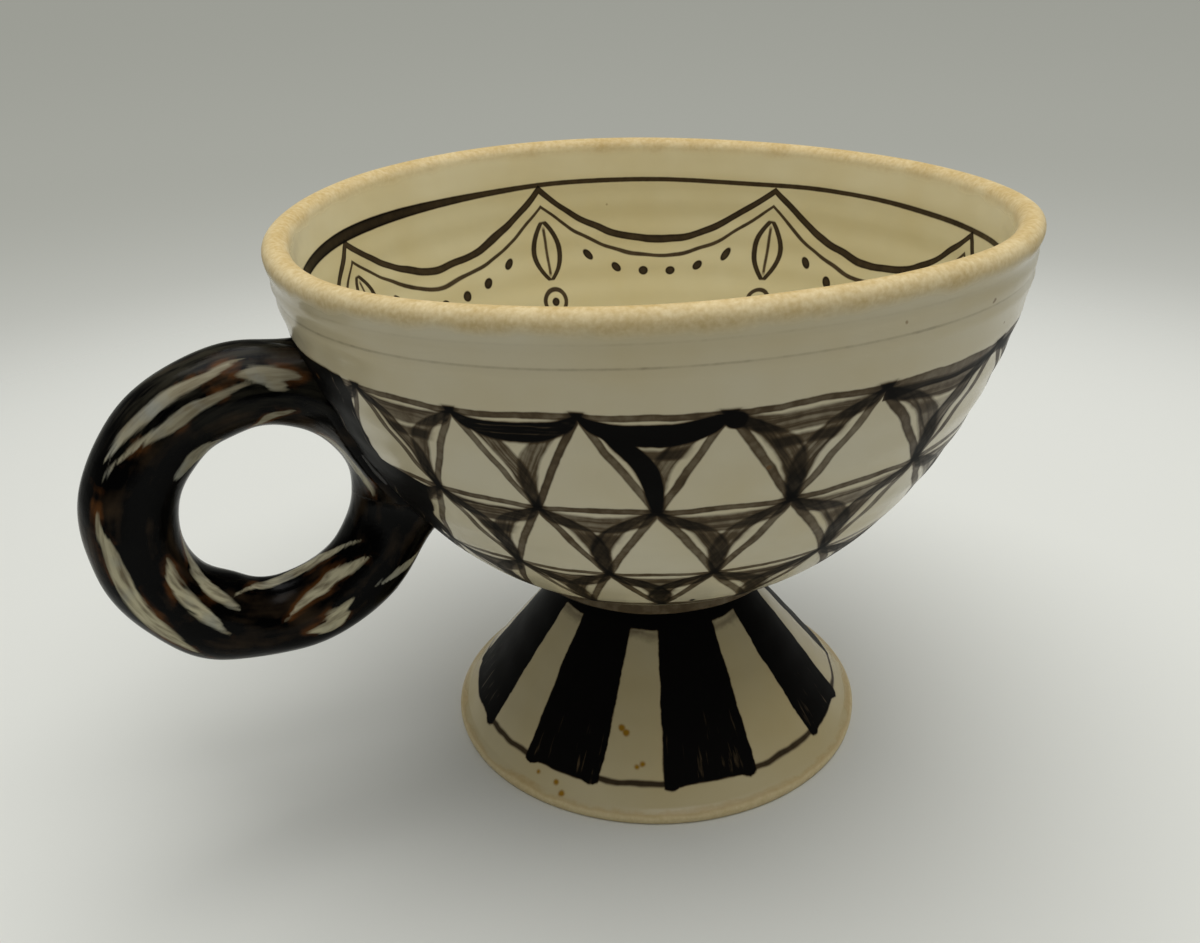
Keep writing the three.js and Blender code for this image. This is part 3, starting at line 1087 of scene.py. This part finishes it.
def lip_bareness(node, coords, edge, fade):
    """How bare the lip's clay is, down to about so many millimetres from its crest, and how much painted
    shade darkens it along the crest.
    """
    depth = node("Attribute", {}, "Fac", attribute_name="depth")
    ragged = node("TexNoise", {"Vector": coords, "Scale": per_mm(6), "Detail": 3.0})
    ragged = node("Math.MULTIPLY_ADD", [ragged, 2.0, edge - 1.0])
    to_crest = node("Math.ABSOLUTE", [depth])
    past = node("Math.SUBTRACT", [to_crest, ragged])
    bare = node("MapRange.SMOOTHSTEP", [past, fade, -fade])
    # Painted shade: the clay is darkened in a band along the crest
    off_shaded_crest = gap_to(node, depth, -0.7)
    painted_crest_shade = node("MapRange", [off_shaded_crest, 2.2, 0.4, 0.0, 0.4])
    return bare, painted_crest_shade


def bowl_outside_material():
    """Glazed stoneware with the brushed lattice, and the handle's black wash run onto the wall."""
    material, node = new_material("glazed_stoneware_lattice")
    coords = node("TexCoord", {}, "Object")
    clear = lattice_paint(node, coords)
    groove = node("Attribute", {}, "Fac", attribute_name="groove")
    # Painted shade: a faint dark line along each groove, darker for a deeper groove
    for above, depth in GROOVES:
        clear = brush_stroke(node, clear, gap_to(node, groove, above), 0.14, 0.75 * depth, 0.12)
    bare, painted_crest_shade = lip_bareness(node, coords, 3.4, 1.0)
    return glazed_stoneware(material, node, coords, linear(GLAZE), clear, bare, painted_crest_shade=painted_crest_shade)


def inner_ring_line(node, coords, depth, angle):
    """Lays the ring line under the lip, broad where the brush was freshly loaded."""
    off_load = node("Math.SUBTRACT", [angle, RING_LINE_LOAD])
    off_load = node("Math.WRAP", [off_load, -math.pi, math.pi])
    off_load = node("Math.ABSOLUTE", [off_load])
    ring_half, ring_strength = (
        node("MapRange.SMOOTHSTEP", [off_load, 0.2, 1.05, loaded, spent])
        for loaded, spent in ((1.1, 0.46), (1.06, 0.98))
    )
    sway = node("TexNoise", {"Vector": coords, "Scale": per_mm(24), "Detail": 0.0})
    sway = node("Math.MULTIPLY_ADD", [sway, 2.0, -1.0])
    ring_line = node("Math.SUBTRACT", [sway, depth])
    return brush_stroke(node, None, gap_to(node, ring_line, RING_LINE_DEPTH), ring_half, ring_strength)


def swag_band(node, clear, angle, down):
    """Lays swags from joint to joint with beads below, and a leaf and a ringed dot at each joint."""
    turn = node("Math.MULTIPLY_ADD", [angle, SWAG_COUNT / math.tau, 0.2])
    turn = node("Math.FRACT", [turn])
    sag = hump(node, turn)
    below = node("Math.SUBTRACT", [down, RING_LINE_DEPTH])
    swag = node("Math.MULTIPLY_ADD", [sag, -SWAG_SAG, below])
    clear = brush_stroke(node, clear, gap_to(node, swag, 1.0), 0.75, 1.0)
    clear = brush_stroke(node, clear, gap_to(node, swag, 4.2), 0.38, 0.95)
    bead = node("Math.MULTIPLY", [turn, SWAG_BEADS])
    bead = node("Math.FRACT", [bead])
    bead = node("Math.SUBTRACT", [bead, 0.5])
    bead = node("Math.MULTIPLY", [bead, SWAG_WIDTH / SWAG_BEADS])
    bead_below = node("Math.SUBTRACT", [swag, 7.6])
    to_bead = node("CombineXYZ", [bead, bead_below])
    to_bead = node("VectorMath.LENGTH", [to_bead], "Value")
    hung = node("MapRange", [sag, 0.35, 0.4])
    clear = brush_stroke(node, clear, to_bead, 0.95, hung)

    # A leaf with a midrib, and a ringed dot under it
    off_joint = gap_to(node, turn, 0.5)
    off_joint = node("Math.SUBTRACT", [0.5, off_joint])
    off_joint = node("Math.MULTIPLY", [off_joint, SWAG_WIDTH])
    along = node("MapRange", [below, LEAF_TOP, LEAF_TOP + LEAF_LENGTH])
    bulge = hump(node, along)
    edge = node("Math.MULTIPLY", [bulge, LEAF_HALF_WIDTH])
    within = node("MapRange", [bulge, 0.0, 0.1])
    clear = brush_stroke(node, clear, gap_to(node, off_joint, edge), 0.5, within)
    rib = node("MapRange", [bulge, 0.25, 0.5, 0.0, 0.9])
    clear = brush_stroke(node, clear, off_joint, 0.28, rib)
    from_joint = node("CombineXYZ", [off_joint, below])
    drop = node("VectorMath.DISTANCE", [from_joint, (0, DROP_DEPTH, 0)], "Value")
    clear = brush_stroke(node, clear, gap_to(node, drop, 2.3), 0.42, 0.95)
    return brush_stroke(node, clear, drop, 0.8, 1.0)


def bowl_inside_material():
    """Glazed stoneware with a plain ring line and a band of brushed swags, leaves and dots."""
    material, node = new_material("glazed_stoneware_swags")
    coords = node("TexCoord", {}, "Object")
    depth = node("Attribute", {}, "Fac", attribute_name="depth")
    angle = angle_round_axis(node, coords)
    shake = node("TexNoise", {"Vector": coords, "Scale": per_mm(9), "Detail": 1.0})
    shake = node("Math.MULTIPLY_ADD", [shake, 1.8, -0.9])
    down = node("Math.SUBTRACT", [shake, depth])
    clear = inner_ring_line(node, coords, depth, angle)
    clear = swag_band(node, clear, angle, down)

    # Two rings round the floor
    for level, half_width in FLOOR_RINGS:
        clear = brush_stroke(node, clear, gap_to(node, down, level), half_width, 0.95)

    # Painted light: the glaze is painted paler between the lip and the ring line
    painted_light_band = node("MapRange", [down, RING_LINE_DEPTH + 2, 4.0])
    glaze = node("Mix.RGBA", {0: painted_light_band, 6: linear(GLAZE_INSIDE), 7: linear(GLAZE_PAINTED_LIGHT_UNDER_LIP)}, 2)
    bare, painted_crest_shade = lip_bareness(node, coords, 3.2, 1.4)
    return glazed_stoneware(material, node, coords, glaze, clear, bare, painted_crest_shade=painted_crest_shade)


def foot_material():
    """Glazed stoneware with broad black stripes, a thin base line and a bare, trimmed edge."""
    material, node = new_material("glazed_stoneware_stripes")
    coords = node("TexCoord", {}, "Object")
    stripe = node("Attribute", {}, "Fac", attribute_name="stripe")
    wander = node("TexNoise", {"Vector": coords, "Scale": per_mm(6), "Detail": 1.0})
    wander = node("Math.SUBTRACT", [wander, 0.5])
    shake = node("TexNoise", {"Vector": coords, "Scale": per_mm(1.4), "Detail": 2.0})
    shake = node("Math.MULTIPLY_ADD", [shake, 0.4, -0.2])
    shake = node("Math.ADD", [shake, wander])
    outside = node("Math.MULTIPLY", [shake, 0.9])
    outside = node("Math.SUBTRACT", [outside, stripe])
    level = node("SeparateXYZ", [coords], "Z")
    level = node("Math.MULTIPLY", [level, 1 / MM])

    # Dry bristle marks down the lower half of each stripe, about 0.8 mm wide and 5 mm long
    turn = node("Math.MULTIPLY", [angle_round_axis(node, coords), FOOT_RADIUS])
    dragged = node("CombineXYZ", [turn, level])
    dragged = node("Mapping", {"Vector": dragged, "Scale": (1 / 0.8, 1 / 5.0, 1)})
    dry = node("TexNoise", {"Vector": dragged, "Scale": 1.0, "Detail": 3.0})
    dry = node("MapRange", [dry, 0.5, 0.75, 0.0, 0.32])
    low = node("MapRange", [level, 20.0, 8.0])
    dry = node("Math.MULTIPLY", [dry, low])
    strength = node("Math.SUBTRACT", [1.26, dry])
    clear = brush_stroke(node, None, outside, 0.0, strength, 0.2)
    line = node("Math.MULTIPLY_ADD", [wander, 1.1, BASE_LINE_LEVEL])
    clear = brush_stroke(node, clear, gap_to(node, level, line), 0.38, 1.0, 0.24)
    smudge = node("Math.MULTIPLY_ADD", [shake, 3.0, STRIPE_TOP - 0.6])
    clear = brush_stroke(node, clear, gap_to(node, level, smudge), 0.6, 0.6, 0.8)
    unrusted = None
    for angle, height in RUST_SPOTS:
        radius = foot_radius(height)
        turn = math.radians(angle)
        spot = AXIS + Vector((radius * math.cos(turn), radius * math.sin(turn), height)) * MM
        away = node("VectorMath.DISTANCE", [coords, spot], "Value")
        away = node("Math.MULTIPLY_ADD", [away, 1 / MM, shake])
        unrusted = brush_stroke(node, unrusted, away, 0.45, 1.1, 0.3)
    edge = node("Math.ADD", [shake, FOOT_LEDGE_HEIGHT - 0.4])
    unrusted = brush_stroke(node, unrusted, gap_to(node, level, edge), 0.16, 0.5, 0.24)
    bare = node("Math.SUBTRACT", [edge, level])
    bare = node("MapRange", [bare, -0.4, 0.4, 0.0, 0.6])
    # The foot's glaze is a darker, yellower copy of the bowl's: painted shade under the bowl
    return glazed_stoneware(material, node, coords, linear(GLAZE_FOOT_PAINTED_SHADE), clear, bare, unrusted)


def bare_clay_material():
    """Unglazed fired stoneware inside the foot: sandy, matt and a little uneven in tone."""
    material, node = new_material("bare_stoneware")
    coords = node("TexCoord", {}, "Object")
    pool = node("TexNoise", {"Vector": coords, "Scale": per_mm(6), "Detail": 2.0})
    clay, grain = sandy_clay(node, coords, pool)
    normal = uneven_surface(node, coords, 7, 2.0, grain, STONEWARE_RELIEF)
    return surfaced(material, node, clay, CLAY_ROUGHNESS, GLAZE_GLOSS, normal)


def ring_material():
    """Glossy black oxide wash brushed round the coil, with cream streaks edged in rust."""
    material, node = new_material("brushed_black_wash")
    coords = node("TexCoord", {}, "Object")
    brushed = node("Attribute", {}, "Vector", attribute_name="brushed")
    streak = node("Attribute", {}, "Fac", attribute_name="streak")
    bristle = node("TexNoise", {"Vector": brushed, "Scale": 1 / 0.9, "Detail": 3.0})
    drag = node("TexNoise", {"Vector": brushed, "Scale": 1 / 2.6, "Detail": 2.0})
    ragged = node("Math.ADD", [bristle, drag])
    inside = node("Math.MULTIPLY_ADD", [ragged, 1.3, -1.2])
    inside = node("Math.ADD", [inside, streak])
    smoke = node("TexNoise", {"Vector": coords, "Scale": per_mm(7), "Detail": 4.0})

    thin = node("Math.ADD", [drag, smoke])
    thin = node("MapRange", [thin, 1.02, 1.35])
    colour = node("Mix.RGBA", {0: thin, 6: linear(WASH_BLACK), 7: linear(WASH_THIN)}, 2)
    level = node("SeparateXYZ", [coords], "Z")
    # Painted sheen: the wash is lighter in patches towards the top
    painted_sheen = node("MapRange", [level, *(height * MM for height in SHEEN_LEVELS)])
    sheen_patches = node("MapRange", [bristle, 0.4, 0.65, 0.0, 0.5])
    painted_sheen = node("Math.MULTIPLY", [painted_sheen, sheen_patches])
    colour = node("Mix.RGBA", {0: painted_sheen, 6: colour, 7: linear(WASH_PAINTED_SHEEN)}, 2)
    near = node("MapRange.SMOOTHSTEP", [inside, -1.0, 0.0])
    rusty = node("MapRange", [smoke, 0.48, 0.62, 0.0, 0.85])
    rust = node("Math.MULTIPLY", [near, rusty])
    colour = node("Mix.RGBA", {0: rust, 6: colour, 7: linear(WASH_RUST)}, 2)
    cream = node("MapRange.SMOOTHSTEP", [inside, -0.12, 0.42])
    stained = node("MapRange", [bristle, 0.42, 0.72])
    # Painted shade: the streaks are darker towards the top
    high = node("MapRange", [level, *(height * MM for height in STREAK_SHADE_LEVELS)])
    washed = node("Mix.RGBA", {0: high, 6: linear(STREAK_LOW), 7: linear(STREAK_PAINTED_SHADE)}, 2)
    washed = node("Mix.RGBA", {0: stained, 6: washed, 7: linear(STREAK_STAIN)}, 2)
    # Blue-grey patches on the streaks: partly their own tint, partly a painted reflection
    tint_and_reflection = node("MapRange", [smoke, 0.45, 0.3, 0.0, 0.6])
    washed = node("Mix.RGBA", {0: tint_and_reflection, 6: washed, 7: linear(STREAK_TINT_AND_REFLECTION)}, 2)
    colour = node("Mix.RGBA", {0: cream, 6: colour, 7: washed}, 2)

    roughness = node("MapRange", [drag, 0.0, 1.0, 0.1, 0.3])
    normal = uneven_surface(node, coords, 5, 3.0, bristle, WASH_RELIEF)
    return surfaced(material, node, colour, roughness, WASH_GLOSS, normal)


def slip_material():
    """Clay slip under the same black wash: dark, satin and slightly lumpy."""
    material, node = new_material("blackened_slip")
    coords = node("TexCoord", {}, "Object")
    smoke = node("TexNoise", {"Vector": coords, "Scale": per_mm(3), "Detail": 3.0})
    tone = node("MapRange", [smoke, 0.4, 0.75])
    colour = node("Mix.RGBA", {0: tone, 6: linear(SLIP_DARK), 7: linear(SLIP_PALE)}, 2)
    normal = node("Bump", {"Height": smoke, "Strength": SLIP_RELIEF, "Distance": SLIP_RELIEF * MM})
    return surfaced(material, node, colour, SLIP_ROUGHNESS, SLIP_GLOSS, normal)


def build_stage():
    """A plain pale floor that fades into the surround."""
    mesh = bmesh.new()
    bmesh.ops.create_circle(mesh, cap_ends=True, segments=96, radius=FLOOR_RADIUS)
    data = bpy.data.meshes.new("studio_floor")
    mesh.to_mesh(data)
    mesh.free()
    floor = bpy.data.objects.new("studio_floor", data)
    bpy.context.scene.collection.objects.link(floor)
    material, node = new_material("pale_paper")
    coords = node("TexCoord", {}, "Object")
    paper = node("BsdfPrincipled", {"Base Color": linear(PAPER), "Roughness": PAPER_ROUGHNESS})
    away = node("VectorMath.DISTANCE", [coords, AXIS], "Value")
    fade = node("MapRange.SMOOTHSTEP", [away, *FLOOR_FADE])
    gone = node("BsdfTransparent", {})
    shader = node("MixShader", [fade, paper, gone])
    node("OutputMaterial", {"Surface": shader})
    data.materials.append(material)


def build_lamp():
    """A broad soft lamp overhead."""
    lamp = bpy.data.lights.new("overhead_softbox", "AREA")
    lamp.shape = "RECTANGLE"
    lamp.size, lamp.size_y = LAMP_SIZE
    lamp.energy = LAMP_POWER
    holder = bpy.data.objects.new("overhead_softbox", lamp)
    holder.location = LAMP_PLACE
    towards = LAMP_AIM - LAMP_PLACE
    holder.rotation_euler = towards.to_track_quat("-Z", "Y").to_euler()
    bpy.context.scene.collection.objects.link(holder)


def build_surround():
    """A pale surround, which mirrors dimly on the viewer's side."""
    world = bpy.data.worlds.new("pale_surround")
    world.use_nodes = True
    world.node_tree.nodes.clear()
    node = partial(add_node, world.node_tree)
    direction = node("TexCoord", {}, "Generated")
    parts = node("SeparateXYZ", [direction]).node.outputs
    colour = linear(SURROUND)
    for low, high, above in SURROUND_BANDS:
        part = node("MapRange.SMOOTHSTEP", [parts["Z"], low, high])
        colour = node("Mix.RGBA", {0: part, 6: colour, 7: linear(above)}, 2)
    rays = node("LightPath", {}).node.outputs
    seen = node("Math.MAXIMUM", [rays["Is Camera Ray"], rays["Is Glossy Ray"]])
    seen = node("Math.MAXIMUM", [seen, rays["Is Transmission Ray"]])
    front = node("MapRange", [parts["Y"], -0.5, 0.5, FRONT_DIMNESS])
    mirrored = node("Mix", {0: rays["Is Glossy Ray"], 2: 1.0, 3: front})
    ambient = node("Background", {"Color": linear(AMBIENT), "Strength": AMBIENT_STRENGTH})
    backdrop = node("Background", {"Color": colour, "Strength": mirrored})
    shader = node("MixShader", [seen, ambient, backdrop])
    node("OutputWorld", {"Surface": shader})
    bpy.context.scene.world = world


def build_camera():
    """The photo's camera, as it was fitted to the outlines of the rim, the bowl and the foot."""
    data = bpy.data.cameras.new("camera")
    data.sensor_width = CAMERA_SENSOR
    data.lens = CAMERA_LENS
    data.clip_start = CAMERA_NEAR
    camera = bpy.data.objects.new("camera", data)
    bearing = Vector((math.cos(CAMERA_BEARING), math.sin(CAMERA_BEARING), 0))
    ahead = Vector((math.cos(CAMERA_HEADING), math.sin(CAMERA_HEADING), 0))
    right = Vector((ahead.y, -ahead.x, 0))
    look = ahead * math.cos(CAMERA_PITCH) - Vector((0, 0, math.sin(CAMERA_PITCH)))
    over = right.cross(look)
    tilted_right = right * math.cos(CAMERA_ROLL) + over * math.sin(CAMERA_ROLL)
    tilted_over = over * math.cos(CAMERA_ROLL) - right * math.sin(CAMERA_ROLL)
    turn = Matrix((tilted_right, tilted_over, -look)).transposed().to_4x4()
    place = AXIS + (bearing * CAMERA_DISTANCE + Vector((0, 0, CAMERA_HEIGHT))) * MM
    camera.matrix_world = Matrix.Translation(place) @ turn
    bpy.context.scene.collection.objects.link(camera)
    bpy.context.scene.camera = camera


build_camera()
build_stage()
build_lamp()
build_surround()
slip = slip_material()
build_bowl([bowl_outside_material(), bowl_inside_material()])
build_foot([foot_material(), bare_clay_material()])
build_foot_slip(slip)
build_ring(ring_material())
build_handle_slip(slip)

bpy.context.scene.view_settings.view_transform = "Standard"
